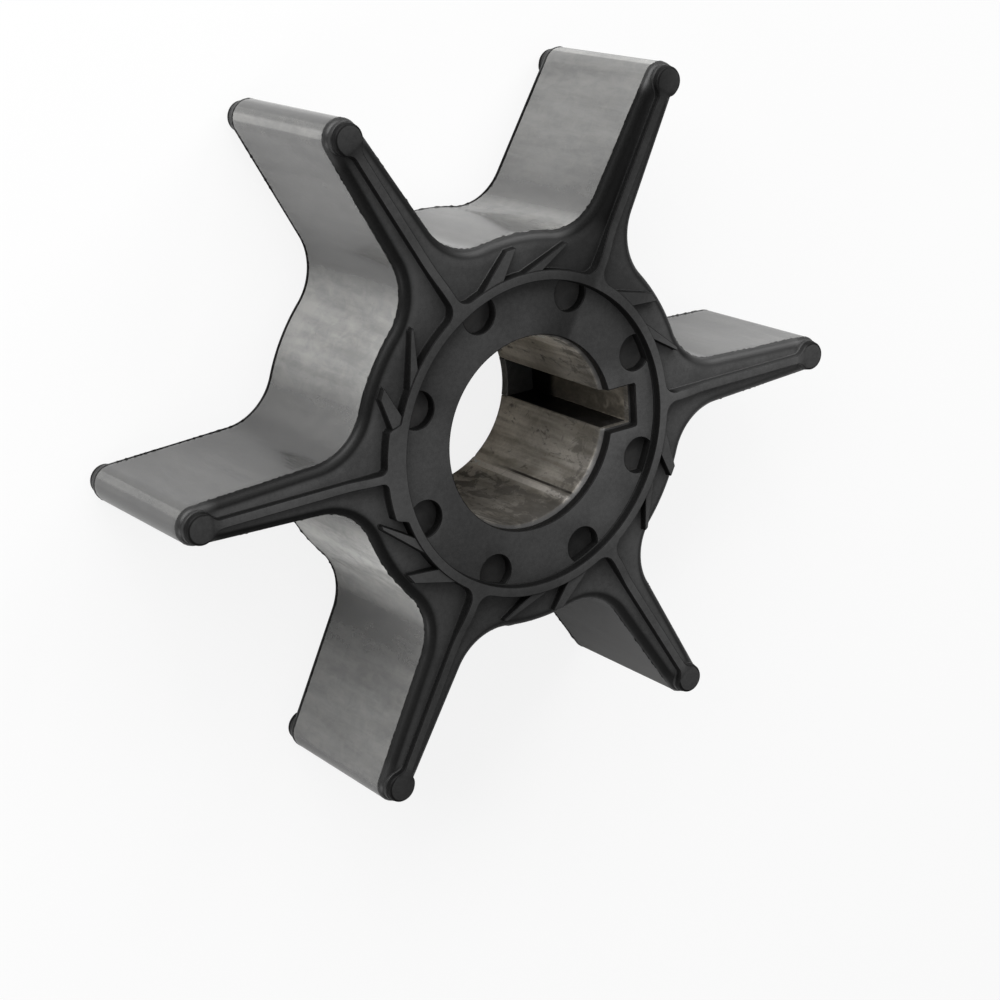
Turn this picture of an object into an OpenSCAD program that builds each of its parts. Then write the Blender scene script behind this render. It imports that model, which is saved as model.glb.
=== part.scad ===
// Flexible pump impeller: a rubber vane wheel moulded round a metal hub bush with a keyway.
// All sizes are millimetres. The part lies on its back end face: the hub ring's lower edge is
// on z = 0, the shaft axis is +Z, and +X runs along the vane that the keyway points to.
// Both end faces carry the same moulded pattern, so the wheel can be fitted either way up.

/* [Vanes] */
// Number of vanes round the hub
vane_count = 6; // [5:1:7]
// Distance from the shaft axis to the centre of each vane's rounded tip
tip_centre_r = 27; // [24:0.1:29]
// Radius of the rounded vane tip
tip_r = 1.4; // [1.25:0.05:1.7]
// Angle by which each side of a vane leans towards its centre line
vane_taper = 2.5; // [1:0.1:4]
// Radius of the hollow where a vane runs into the hub
root_fillet_r = 4.25; // [3.2:0.05:4.6]
// Width of the vanes between the flat discs on their tips
vane_w = 14.3; // [12:0.1:18]

/* [Hub] */
// Outer radius of the rubber hub between the vanes
hub_r = 14.6; // [14.3:0.05:15]
// Height by which the hub ring stands above the tip discs, at each end
ring_proud = 0.3; // [0.1:0.05:0.6]
// Inner radius of the raised ring, which is also the edge of the sunk annulus
ring_inner_r = 11.25; // [11:0.05:11.5]
// Outer radius of the raised ring
ring_outer_r = 12; // [11.8:0.05:12.2]
// Outer radius of the ring where it is wider, beside the vane opposite the keyway
pad_outer_r = 12.85; // [12.3:0.05:13]
// Half angle covered by the wider part of the ring
pad_half_angle = 17; // [12:0.5:18]
// Depth of the sunk annulus below the ring
recess_depth = 0.7; // [0.4:0.05:0.9]

/* [Moulded edges and ribs] */
// Depth of the moulding line below the tip discs
line_depth = 1.2; // [1:0.05:1.6]
// Depth of the flat end face below the tip discs
flat_depth = 0.5; // [0.3:0.05:0.6]
// Distance the flat end face is set back from the moulding line
flat_inset = 0.5; // [0.3:0.05:0.6]
// Set-back half way down the rounded edge
mid_inset = 0.2; // [0.1:0.05:0.25]
// Radius of the flat disc on each vane tip
disc_r = 1.12; // [1:0.02:1.2]
// Width of the straight rib along each vane
rib_w = 0.7; // [0.5:0.05:0.9]
// Half width of the rib where it flares into the tip disc
neck_half_w = 0.8; // [0.6:0.05:0.9]
// Radius of the hollow corner between a vane rib and the ring
rib_corner_r = 1; // [0.6:0.05:1.2]
// Radius at which the slanted ribs in the gaps end
slant_end_r = 13.9; // [13.5:0.05:14]
// Angles from mid gap between which the first slanted rib ends
slant_a_tip = [-16.2, -13.2]; // [-18:0.2:-10]
// Angles from mid gap between which the first slanted rib leaves the ring
slant_a_root = [-7.2, 0.4]; // [-9:0.2:2]
// Angles from mid gap between which the second slanted rib ends
slant_b_tip = [2.8, 6.6]; // [1:0.2:9]
// Angles from mid gap between which the second slanted rib leaves the ring
slant_b_root = [11.2, 22.2]; // [9:0.2:24]

/* [Bush, bore and keyway] */
// Outer radius of the metal bush
bush_r = 11.8; // [11.6:0.05:12]
// Thickness of the rubber lip over each end of the bush
lip_t = 0.75; // [0.5:0.05:1]
// Radius of the shaft bore in the metal
bore_r = 7; // [6:0.05:7.5]
// Gap between the edge of the bore and the opening in the rubber lip
lip_clear = 0.2; // [0.2:0.05:0.3]
// Chamfer at each end of the metal bore
bore_chamfer = 0.4; // [0.2:0.05:0.6]
// Width of the keyway in the metal
key_w = 3; // [2:0.05:4]
// Distance from the shaft axis to the floor of the keyway in the metal
key_floor_r = 9.4; // [8.5:0.05:9.8]
// Gap between the keyway and the slot in the rubber lip, on each side
key_clear = 0.13; // [0.1:0.01:0.2]
// Number of half round notches that show the end of the bush
notch_count = 8; // [4:1:8]
// Radius of a notch
notch_r = 1.35; // [1:0.05:1.5]
// Distance from the shaft axis to the centre of a notch
notch_centre_r = 10.4; // [10.2:0.05:10.8]

/* [Finish] */
// Number of flat strips in each hollow root
root_steps = 6; // [5:1:9]
// Colour of the rubber
rubber_colour = [0.09, 0.09, 0.095];
// Colour of the metal
metal_colour = [0.45, 0.41, 0.35];

/* [Hidden] */
$fn = 96;

gap_angle = 360 / vane_count;
// Number of the vane beside which the ring is wider, counted from the one at the keyway.
wide_vane = floor(vane_count / 2);
full_w = vane_w + 2 * ring_proud;
disc_top = full_w - ring_proud;
line_top = disc_top - line_depth;
flat_top = disc_top - flat_depth;
mid_top = (flat_top + line_top) / 2;
recess_top = full_w - recess_depth;
bush_top = recess_top - lip_t;
bush_low = full_w - bush_top;
bush_len = bush_top - bush_low;
lip_r = bore_r + lip_clear;
slot_w = key_w + 2 * key_clear;
slot_floor_r = key_floor_r + key_clear;
over = 0.5;
// Height inside the body from which everything raised on the front end starts.
base_top = line_top + 0.15;
// Amount by which joined pieces reach into each other instead of only touching.
sink = 0.03;
// Radius from which vanes and roots grow: half way between the bush and the hub's surface.
grow_r = (bush_r + hub_r) / 2;

// Unit vector square to the side of a vane, and the one that runs down that side to the hub.
side_n = [sin(vane_taper), cos(vane_taper)];
side_d = [-cos(vane_taper), sin(vane_taper)];

// Centre of the hollow root: its circle cuts the vane side and the hub circle by a hair.
root_from = [tip_centre_r, 0] + (tip_r + root_fillet_r - 2 * sink) * side_n;
root_run = root_from * side_d;
root_reach = hub_r + root_fillet_r - sink;
root_along = -root_run - sqrt(root_run * root_run - root_from * root_from + root_reach * root_reach);
root_centre = root_from + root_along * side_d;

function on_circle(centre, r, angle) = centre + r * [cos(angle), sin(angle)];

// Rounded edge profile of a piece of given radius, from the lower flat face up to the upper one.
// drop lowers both flat faces, so that the hub's don't share a plane with the vanes'.
function edge_profile(r, drop = 0) = [
    [r - flat_inset, full_w - flat_top + drop],
    [r - mid_inset, full_w - mid_top],
    [r, full_w - line_top],
    [r, line_top],
    [r - mid_inset, mid_top],
    [r - flat_inset, flat_top - drop]
];

// Hub: rubber between the vanes, raised ring, sunk annulus, lips and the seat of the bush.
module hub() {
    rotate_extrude()
        polygon(concat(
            [
                [lip_r, recess_depth],
                [ring_inner_r, recess_depth],
                [ring_inner_r, 0],
                [ring_outer_r, 0],
                [ring_outer_r, full_w - flat_top + sink]
            ],
            edge_profile(hub_r, sink),
            [
                [ring_outer_r, flat_top - sink],
                [ring_outer_r, full_w],
                [ring_inner_r, full_w],
                [ring_inner_r, recess_top],
                [lip_r, recess_top],
                [lip_r, bush_top],
                [bush_r, bush_top],
                [bush_r, bush_low],
                [lip_r, bush_low]
            ]
        ));
}

// Half of a vane: its cross section carried along one side, from the tip into the hub.
module half_vane() {
    depth = 1.6 * tip_r;
    reach = tip_centre_r - grow_r;
    start = [tip_centre_r, 0] + (tip_r - sink) * side_n;
    translate([start[0], start[1], 0])
        rotate([0, 0, -vane_taper])
            rotate([90, 0, -90])
                linear_extrude(height = reach)
                    polygon(concat(
                        [[depth, flat_top], [depth, full_w - flat_top]],
                        [for (p = edge_profile(0)) [-p[0], p[1]]]
                    ));
}

// Rounded tip of a vane, with the flat disc at each end.
module tip() {
    slope = (mid_inset + disc_r - tip_r) / (flat_inset - mid_inset);
    foot = mid_top - slope * (flat_top - mid_top);
    translate([tip_centre_r, 0, 0])
        rotate_extrude($fn = 64)
            polygon([
                [0, full_w - disc_top],
                [disc_r, full_w - disc_top],
                [disc_r, full_w - foot],
                [tip_r - mid_inset, full_w - mid_top],
                [tip_r, full_w - line_top],
                [tip_r, line_top],
                [tip_r - mid_inset, mid_top],
                [disc_r, foot],
                [disc_r, disc_top],
                [0, disc_top]
            ]);
}

// Outline of the rubber in the corner between a vane and the hub, with its hollow side set in.
function root_outline(inset) =
    let (away = root_centre / norm(root_centre), turn = atan2(away[1], away[0]))
    concat(
        [[grow_r, tip_r / 2], root_centre - (root_fillet_r + tip_r / 2) * side_n],
        [for (i = [0:root_steps])
            on_circle(root_centre, root_fillet_r + inset,
                -90 - vane_taper + (turn - 90 + vane_taper) * i / root_steps)],
        [root_centre - (root_fillet_r + hub_r - grow_r) * away]
    );

// Hollow root: flat strips round the corner between a vane and the hub, with rounded edges.
module root() {
    levels = edge_profile(0);
    n = root_steps + 4;
    points = [for (level = levels) for (p = root_outline(-level[0])) [p[0], p[1], level[1]]];
    walls = [for (j = [0:4]) for (i = [0:n - 1])
        [j * n + i, (j + 1) * n + i, (j + 1) * n + (i + 1) % n, j * n + (i + 1) % n]];
    floor_face = [[for (i = [0:n - 1]) i]];
    roof_face = [concat([5 * n], [for (i = [n - 1:-1:1]) 5 * n + i])];
    polyhedron(points = points, faces = concat(walls, floor_face, roof_face));
}

// One vane with its rounded tip and hollow roots, reaching into the hub.
module vane() {
    tip();
    half_vane();
    mirror([0, 1, 0]) half_vane();
    root();
    mirror([0, 1, 0]) root();
}

// Hollow corner between a vane rib and a ring of the given radius, seen from above.
module rib_corner(ring_r) {
    reach = ring_r + rib_corner_r - sink;
    y = rib_w / 2 + rib_corner_r - sink;
    x = sqrt(reach * reach - y * y);
    turn = atan2(y, x);
    polygon(concat(
        [[ring_r - rib_w / 2, 0]],
        [for (i = [0:4]) on_circle([x, y], rib_corner_r, -90 - (90 - turn) * i / 4)]
    ));
}

// Straight rib of one vane, with its ramp up to a ring of the given radius.
module vane_rib(ring_r) {
    ramp_in = ring_r + rib_corner_r + rib_w;
    ramp_out = ramp_in + 2.6;
    translate([0, rib_w / 2, 0])
        rotate([90, 0, 0])
            linear_extrude(height = rib_w)
                polygon([
                    [ring_outer_r - 0.3, base_top],
                    [tip_centre_r, base_top],
                    [tip_centre_r, disc_top],
                    [ramp_out, disc_top],
                    [ramp_in, full_w],
                    [ring_outer_r - 0.3, full_w]
                ]);
    translate([0, 0, base_top])
        linear_extrude(height = disc_top - base_top)
            polygon([
                [tip_centre_r - 2.1, rib_w / 2 - sink],
                [tip_centre_r - 2.1, sink - rib_w / 2],
                [tip_centre_r - 0.85, -neck_half_w],
                [tip_centre_r - 0.3, -neck_half_w],
                [tip_centre_r - 0.3, neck_half_w],
                [tip_centre_r - 0.85, neck_half_w]
            ]);
    translate([0, 0, base_top])
        linear_extrude(height = full_w - base_top) {
            rib_corner(ring_r);
            mirror([0, 1]) rib_corner(ring_r);
        }
}

// Slanted rib in a gap, wider at the ring and lower at its tip; angles are from mid gap.
module slanted_rib(tip_angles, root_angles) {
    middle = gap_angle / 2;
    tip_at = on_circle([0, 0], slant_end_r, middle + (tip_angles[0] + tip_angles[1]) / 2);
    root_at = on_circle([0, 0], ring_outer_r, middle + (root_angles[0] + root_angles[1]) / 2);
    run = tip_at - root_at;
    length = norm(run);
    intersection() {
        translate([0, 0, base_top])
            linear_extrude(height = full_w - base_top)
                polygon([
                    on_circle([0, 0], ring_outer_r - 0.3, middle + root_angles[0]),
                    on_circle([0, 0], slant_end_r, middle + tip_angles[0]),
                    on_circle([0, 0], slant_end_r, middle + tip_angles[1]),
                    on_circle([0, 0], ring_outer_r - 0.3, middle + root_angles[1])
                ]);
        translate([root_at[0], root_at[1], 0])
            rotate([0, 0, atan2(run[1], run[0])])
                translate([0, ring_outer_r / 2, 0])
                    rotate([90, 0, 0])
                        linear_extrude(height = ring_outer_r)
                            polygon([
                                [-2 * length, base_top - over],
                                [2 * length, base_top - over],
                                [2 * length, disc_top - 0.05 - ring_proud],
                                [0, full_w - 0.05],
                                [-2 * length, full_w - 0.05]
                            ]);
    }
}

// Wider part of the raised ring, beside the vane opposite the keyway.
module ring_pad() {
    translate([0, 0, base_top])
        linear_extrude(height = full_w - base_top)
            intersection() {
                difference() {
                    circle(r = pad_outer_r);
                    circle(r = ring_outer_r - 0.2);
                }
                polygon([
                    on_circle([0, 0], bore_r, pad_half_angle),
                    on_circle([0, 0], bore_r, -pad_half_angle),
                    on_circle([0, 0], tip_centre_r, -pad_half_angle),
                    on_circle([0, 0], tip_centre_r, pad_half_angle)
                ]);
            }
}

// Hub and vanes joined, up to the flat end faces.
module vaned_hub() {
    union() {
        hub();
        for (k = [0:vane_count - 1])
            rotate([0, 0, gap_angle * k])
                vane();
    }
}

// Everything that stands up on the front end face, besides the ring itself.
module end_pattern() {
    for (k = [0:vane_count - 1])
        rotate([0, 0, gap_angle * k]) {
            if (k == wide_vane) ring_pad();
            vane_rib(k == wide_vane ? pad_outer_r : ring_outer_r);
            slanted_rib(slant_a_tip, slant_a_root);
            slanted_rib(slant_b_tip, slant_b_root);
        }
}

// Notches in the lip over the bush at the front end.
module lip_notches() {
    translate([0, 0, bush_top - over])
        linear_extrude(height = recess_top - bush_top + over)
            intersection() {
                circle(r = ring_inner_r);
                for (k = [0:notch_count - 1])
                    rotate([0, 0, 360 / notch_count * (k + 0.5)])
                        translate([notch_centre_r, 0])
                            circle(r = notch_r, $fn = 48);
            }
}

// Slot that opens the keyway at the front end. The lip at the back end closes the keyway.
module key_slot() {
    translate([0, -slot_w / 2, bush_top - over])
        cube([slot_floor_r, slot_w, recess_top - bush_top + 2 * over]);
}

// The same solid at the back end, turned over about the middle of the width.
module other_end() {
    translate([0, 0, full_w])
        mirror([0, 0, 1])
            children();
}

// Rubber wheel: hub and vanes, both end patterns, the notches in both lips and the key slot.
module impeller_wheel() {
    color(rubber_colour)
        difference() {
            union() {
                vaned_hub();
                end_pattern();
                other_end() end_pattern();
            }
            lip_notches();
            other_end() lip_notches();
            key_slot();
        }
}

// Metal bush: plain outside, chamfered bore and a keyway along its whole length.
module hub_bush() {
    color(metal_colour)
        difference() {
            rotate_extrude()
                polygon([
                    [bore_r + bore_chamfer, bush_low],
                    [bush_r, bush_low],
                    [bush_r, bush_top],
                    [bore_r + bore_chamfer, bush_top],
                    [bore_r, bush_top - bore_chamfer],
                    [bore_r, bush_low + bore_chamfer]
                ]);
            translate([0, -key_w / 2, bush_low - over])
                cube([key_floor_r, key_w, bush_len + 2 * over]);
        }
}

impeller_wheel();
hub_bush();
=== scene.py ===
# %% [markdown]
# Dressing a flexible pump impeller
#
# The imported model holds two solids: a rubber wheel with six vanes and the metal bush that it is
# moulded round. This lesson keeps their sizes and dresses them as the real part looks. The body,
# the raised pattern of each end face, the lips over the bush and the bush itself each get their
# own mesh with rounded moulded edges, and then a rubber or metal finish made from nodes.

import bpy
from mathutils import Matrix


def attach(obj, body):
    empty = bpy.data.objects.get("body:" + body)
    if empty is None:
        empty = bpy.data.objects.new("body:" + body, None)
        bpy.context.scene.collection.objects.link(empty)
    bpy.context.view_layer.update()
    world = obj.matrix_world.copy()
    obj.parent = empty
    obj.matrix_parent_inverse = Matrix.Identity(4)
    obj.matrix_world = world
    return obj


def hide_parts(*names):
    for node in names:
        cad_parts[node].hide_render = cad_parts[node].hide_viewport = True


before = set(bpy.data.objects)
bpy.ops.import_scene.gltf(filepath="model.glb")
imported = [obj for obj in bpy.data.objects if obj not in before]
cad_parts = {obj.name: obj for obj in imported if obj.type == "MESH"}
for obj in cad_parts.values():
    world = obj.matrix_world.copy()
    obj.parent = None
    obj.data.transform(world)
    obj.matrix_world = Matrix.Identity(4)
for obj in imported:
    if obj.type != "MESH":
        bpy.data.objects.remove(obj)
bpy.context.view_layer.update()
print("nodes:", sorted(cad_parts))

import math

import bmesh
import bpy
import numpy as np
from mathutils import Matrix, Vector, noise
from mathutils.geometry import delaunay_2d_cdt

# %% [markdown]
# Camera
#
# The photograph looks down on the upper end face from the left, at about fifty degrees, with a
# long lens. A camera can be aimed by hand with a target, but here its place and turn were worked
# out from the vane tips and then from the whole outline, so they are written as a matrix. The small
# lens shift moves the frame a little without turning the camera.

# %% Place the camera
camera_data = bpy.data.cameras.new("studio_camera")
camera_data.sensor_width = 36
camera_data.lens = 80.176
camera_data.shift_x = -0.05
camera_data.shift_y = -0.036
camera_data.clip_start = 0.01
camera_data.clip_end = 20
camera = bpy.data.objects.new("studio_camera", camera_data)
bpy.context.scene.collection.objects.link(camera)
bpy.context.scene.camera = camera
across = Vector((0.79671112, -0.05239848, 0.60208454))
upward = Vector((0.23574588, 0.94426037, -0.22977431))
backward = Vector((-0.55648475, 0.32500269, 0.76465546))
camera_turn = Matrix((across, upward, backward)).transposed()
camera.matrix_world = Matrix.Translation((-0.08835814, 0.04977305, 0.1374961)) @ camera_turn.to_4x4()
print("camera height above the floor, mm:", round(camera.location.z * 1000, 1))

# %% [markdown]
# Sizes
#
# All shapes below are worked out in millimetres from the same sizes as the solids, and are turned
# into metres when a mesh is made. Both ends of the wheel carry the same pattern, so every piece of
# an end face is made once for the upper end and once more, turned over, for the lower end.

# %% Sizes of the wheel in millimetres
WIDTH = 14.9
MIDDLE = WIDTH / 2
FLAT_TOP = 14.1
LINE_TOP = 13.4
DISC_TOP = 14.6
RIB_TOP = 14.52
VANES = 6
VANE_STEP = 60
TIP_AT = 27.0
TIP_R = 1.4
TAPER = math.radians(2.5)
ROOT_R = 4.25
HUB_R = 14.6
RING_IN = 11.25
RING_OUT = 12.0
PAD_OUT = 12.85
WIDE_VANE = 3
LIP_TOP = 14.2
BUSH_TOP = 13.45
LIP_R = 7.2
BUSH_R = 11.8
BORE_R = 7.0
print("across the vane tips, mm:", 2 * (TIP_AT + TIP_R))

# %% [markdown]
# Shells
#
# Nearly every surface of a moulded part can be described as a stack of closed rings that all have
# the same number of points, joined by bands of four-sided faces. A small builder that collects
# rings and bands is shorter than many bmesh calls, and it keeps every shell closed. Flat faces
# next to rounded edges are shaded by their area, so that they stay flat in the light.

# %% A builder for closed shells
SHARP_ANGLE = math.radians(38)


class Shell:
    """Collects rings of points in millimetres and the faces between them."""

    def __init__(self):
        self.points = []
        self.faces = []
        self.glossy = []

    def ring(self, points):
        """Adds a closed ring of (x, y, z) points and returns its vertex numbers."""
        first = len(self.points)
        self.points.extend([tuple(map(float, p)) for p in points])
        return list(range(first, len(self.points)))

    def band(self, low, high):
        """Joins two rings of equal length by four-sided faces."""
        count = len(low)
        for i in range(count):
            j = (i + 1) % count
            self.faces.append((low[i], low[j], high[j], high[i]))

    def stack(self, rings, glossy=False):
        """Joins each ring to the next one; glossy bands take the piece's second finish."""
        first = len(self.faces)
        for low, high in zip(rings, rings[1:]):
            self.band(low, high)
        if glossy:
            self.glossy.extend(range(first, len(self.faces)))

    def make(self, name, turned_over=False):
        """Makes the mesh object, in metres. Turned over, it serves the lower end of the wheel."""
        points = [(x / 1000, y / 1000, (WIDTH - z if turned_over else z) / 1000)
                  for x, y, z in self.points]
        mesh = bpy.data.meshes.new(name)
        mesh.from_pydata(points, [], self.faces)
        work = bmesh.new()
        work.from_mesh(mesh)
        bmesh.ops.recalc_face_normals(work, faces=work.faces)
        work.to_mesh(mesh)
        work.free()
        mesh.shade_smooth()
        mesh.set_sharp_from_angle(angle=SHARP_ANGLE)
        for number in self.glossy:
            mesh.polygons[number].material_index = 1
        piece = bpy.data.objects.new(name, mesh)
        bpy.context.scene.collection.objects.link(piece)
        even = piece.modifiers.new("flat faces stay flat", "WEIGHTED_NORMAL")
        even.weight = 100
        even.keep_sharp = True
        print(name, "faces:", len(mesh.polygons))
        return piece

# %% [markdown]
# Arcs and lines
#
# Every outline below is put together from arcs and straight lines, given as rows of points. Half
# of a vane's outline is enough: it is mirrored, and then turned round the shaft for each vane.

# %% Arcs, lines and turns
def arc(centre, radius, start, end, steps):
    """Points on an arc, ends included; angles in radians."""
    angles = np.linspace(start, end, steps + 1)
    return np.stack([centre[0] + radius * np.cos(angles), centre[1] + radius * np.sin(angles)], 1)


def line(start, end, steps):
    """Points on a straight line, both ends included."""
    share = np.linspace(0, 1, steps + 1)[:, None]
    return np.asarray(start) * (1 - share) + np.asarray(end) * share


def turned(points, angle):
    """The points turned round the shaft axis."""
    c, s = math.cos(angle), math.sin(angle)
    return points @ np.array([[c, s], [-s, c]])


def at_height(outline, z):
    """Outline points lifted to height z."""
    return np.column_stack([outline, np.full(len(outline), z)])


def all_round(halves):
    """Joins a half outline for each vane, from its axis to mid gap, into one closed outline."""
    whole = [np.vstack([(half * [1, -1])[::-1][:-1], half[:-1]]) for half in halves]
    return np.vstack([turned(both, math.radians(VANE_STEP * k)) for k, both in enumerate(whole)])


print("points on a quarter of the hub in 8 steps:", len(arc((0, 0), HUB_R, 0, math.pi / 2, 8)))

# %% [markdown]
# Outline of the wheel
#
# Seen along the shaft, the wheel is drawn with arcs and straight lines that flow into each other:
# a round tip, a side that leans 2.5 degrees, a hollow root and the round hub. A spline could be
# fitted to it, but true tangent arcs give clean highlights. The outline can be set in by any
# amount and keeps its number of points, which is what rounded edges need.

# %% Half outline of one vane
SIDE_OUT = np.array([math.sin(TAPER), math.cos(TAPER)])
SIDE_DOWN = np.array([-math.cos(TAPER), math.sin(TAPER)])
root_from = np.array([TIP_AT, 0]) + (TIP_R + ROOT_R) * SIDE_OUT
root_run = root_from @ SIDE_DOWN
root_along = -root_run - math.sqrt(root_run ** 2 - root_from @ root_from + (HUB_R + ROOT_R) ** 2)
ROOT_AT = root_from + root_along * SIDE_DOWN
ROOT_TURN = math.atan2(ROOT_AT[1], ROOT_AT[0])


def vane_half(inset):
    """From the tip along one side of a vane and its root to the middle of the gap."""
    tip = arc((TIP_AT, 0), TIP_R - inset, 0, math.pi / 2 - TAPER, 14)
    root = arc(ROOT_AT, ROOT_R + inset, -math.pi / 2 - TAPER, ROOT_TURN - math.pi, 34)
    side = line(tip[-1], root[0], 56)[1:-1]
    hub = arc((0, 0), HUB_R - inset, ROOT_TURN, math.pi / VANES, 12)[1:]
    return np.vstack([tip, side, root, hub])


def wheel_outline(inset):
    """The whole outline of the wheel, set in by the inset."""
    return all_round([vane_half(inset)] * VANES)


print("root starts at radius, mm:", round(float(np.hypot(*(ROOT_AT - ROOT_R * SIDE_OUT))), 2))

# %% [markdown]
# Body of the wheel
#
# The real body leaves its mould with two fine moulding lines, one near each end. Between them the
# sides are smooth, and beyond them the edge rounds over softly to the flat end face. The body is a
# stack of outlines: each level has its own set-back, and the moulding line is a thin fin of flash
# that stands about a tenth of a millimetre proud and is finely torn, as real flash is.

# %% Torn moulding line
FLASH = 0.13
FLASH_AT_TIPS = 0.45


def ragged(inset, seed):
    """Outline with torn flash standing out from it, least at the tips of the vanes."""
    base, proud = wheel_outline(inset), wheel_outline(inset - FLASH)
    shares = []
    for x, y in base:
        wide = noise.noise(Vector((x * 0.3, y * 0.3, seed)))
        fine = noise.noise(Vector((x * 4.3, y * 4.3, seed + 7)))
        torn = min(1.0, max(0.0, 0.3 + 0.3 * wide + 0.8 * fine))
        shares.append(torn * (FLASH_AT_TIPS if math.hypot(x, y) > TIP_AT - 0.5 else 1.0))
    share = np.array(shares)[:, None]
    return base * (1 - share) + proud * share


print("points round the wheel:", len(wheel_outline(0)))

# %% Stack the body from its outlines
SIDE_INSET = 0.05
SIDE_LEVELS = (MIDDLE, 9.4, 11.4, 12.7, 13.2)
GROOVE = ((0.06, 13.27), (0.11, 13.3))
CROWN = ((0.04, 13.44), (0.06, 13.56), (0.12, 13.68), (0.22, 13.79), (0.36, 13.89), (0.54, 13.98),
         (0.76, 14.045), (1.0, 14.085), (1.2, FLAT_TOP), (1.25, FLAT_TOP))
side = [(z, wheel_outline(SIDE_INSET)) for z in SIDE_LEVELS]
side += [(z, wheel_outline(inset)) for inset, z in GROOVE]
edge = [side[-1], (LINE_TOP - 0.06, ragged(0.06, 3)), (LINE_TOP, ragged(0.05, 3))]
edge += [(z, wheel_outline(inset)) for inset, z in CROWN]
body = Shell()


def end_rings(levels, turned_over):
    """Adds the levels of one end to the body."""
    return [body.ring(at_height(outline, WIDTH - z if turned_over else z)) for z, outline in levels]


upper_side, lower_side = end_rings(side, False), end_rings(side[1:], True)
body.stack(lower_side[::-1] + upper_side, glossy=True)
upper_edge = [upper_side[-1]] + end_rings(edge[1:], False)
lower_edge = [lower_side[-1]] + end_rings(edge[1:], True)
rim = edge[-1][1]
seat = BUSH_R * rim / np.hypot(rim[:, 0], rim[:, 1])[:, None]
top_seat = body.ring(at_height(seat, FLAT_TOP))
low_seat = body.ring(at_height(seat, WIDTH - FLAT_TOP))
body.stack(upper_edge + [top_seat, low_seat] + lower_edge[::-1])
wheel_body = body.make("wheel_body")

# %% [markdown]
# Raised ribs and hub ring
#
# On each end face one raised pattern runs on without a break: a disc on every tip, a thin low rib
# down the vane, a hollow corner, and the ring round the hub, which is wider beside one vane. It
# could be cut from plates with booleans, but then no edge could be rounded cleanly. One outline for
# the whole pattern, set in step by step near the top, gives the soft moulded edge all round.

# %% Half outline of the raised pattern
DISC_R = 1.12
RIB_HALF = 0.35
SHOULDER_R = 0.8
SHOULDER_REACH = math.sqrt((DISC_R + SHOULDER_R) ** 2 - (RIB_HALF + SHOULDER_R) ** 2)
SHOULDER_AT = np.array([TIP_AT - SHOULDER_REACH, RIB_HALF + SHOULDER_R])
TO_DISC = math.atan2(-SHOULDER_AT[1], TIP_AT - SHOULDER_AT[0])
DISC_STEPS, SHOULDER_STEPS, RIB_STEPS, CORNER_STEPS = 16, 9, 26, 9
CORNER_END = DISC_STEPS + SHOULDER_STEPS + RIB_STEPS + CORNER_STEPS - 1


def smooth_step(low, high, value):
    """0 below low, 1 above high, and a soft rise between them."""
    t = np.clip((value - low) / (high - low), 0, 1)
    return t * t * (3 - 2 * t)


def tip_disc(inset):
    """Disc on a vane's tip; it is set in more round its end than where the rib leaves it."""
    disc = arc((TIP_AT, 0), DISC_R - inset, 0, math.pi + TO_DISC, DISC_STEPS)
    rounder = 1 - smooth_step(0.72, 0.95, np.linspace(0, 1, DISC_STEPS + 1))
    extra = (2.2 * max(inset, 0) * rounder)[:, None]
    return disc - extra * (disc - [TIP_AT, 0]) / np.hypot(disc[:, 0] - TIP_AT, disc[:, 1])[:, None]


def pattern_half(inset, wide):
    """From the tip disc along the rib and round its corner, then along the ring to mid gap."""
    ring_r, corner_r = (PAD_OUT, 0.5) if wide else (RING_OUT, 1.0)
    corner_y = RIB_HALF + corner_r
    corner_at = (math.sqrt((ring_r + corner_r) ** 2 - corner_y ** 2), corner_y)
    corner_turn = math.atan2(corner_at[1], corner_at[0])
    shoulder = arc(SHOULDER_AT, SHOULDER_R + inset, TO_DISC, -math.pi / 2, SHOULDER_STEPS)[1:]
    corner = arc(corner_at, corner_r + inset, -math.pi / 2, corner_turn - math.pi, CORNER_STEPS)
    rib = line(shoulder[-1], corner[0], RIB_STEPS)[1:-1]
    angles = np.concatenate([np.linspace(math.degrees(corner_turn), 13.6, 6)[1:],
                             np.linspace(14.0, 17.8, 9), np.linspace(19, 30, 7)])
    radius = ring_r - (ring_r - RING_OUT) * smooth_step(14.0, 17.6, angles) - inset
    ring = np.stack([radius * np.cos(np.radians(angles)), radius * np.sin(np.radians(angles))], 1)
    return np.vstack([tip_disc(inset), shoulder, rib, corner, ring])


HALF_COUNT = len(pattern_half(0, False)) - 1
print("points in half a pattern:", HALF_COUNT + 1, "of them on disc, rib and corner:", CORNER_END + 1)

# %% The whole pattern and its height
EDGE_STEPS = ((0.0, 0.075), (0.006, 0.045), (0.022, 0.02), (0.045, 0.006), (0.075, 0.0))
FOOT_STEPS = ((14.16, -0.004), (14.13, -0.012), (14.11, -0.03), (14.1, -0.05), (14.08, -0.06),
              (13.5, -0.06))
SEAT_STEPS = ((14.29, -0.005), (14.25, -0.02), (14.22, -0.045), (14.2, -0.08), (13.9, -0.08))
RIB_FALL = (13.2, 16.2)
DISC_RISE = (25.1, 26.0)


def pattern_outline(inset):
    """The whole pattern; only the vane opposite the keyway has the wide ring beside it."""
    return all_round([pattern_half(inset, k == WIDE_VANE) for k in range(VANES)])


def pattern_top(points):
    """The pattern is highest on the ring, lowest on the ribs and a little higher on the discs."""
    reach = np.hypot(points[:, 0], points[:, 1])
    on_ribs, on_discs = smooth_step(*RIB_FALL, reach), smooth_step(*DISC_RISE, reach)
    return WIDTH - (WIDTH - RIB_TOP) * on_ribs + (DISC_TOP - RIB_TOP) * on_discs


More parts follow.
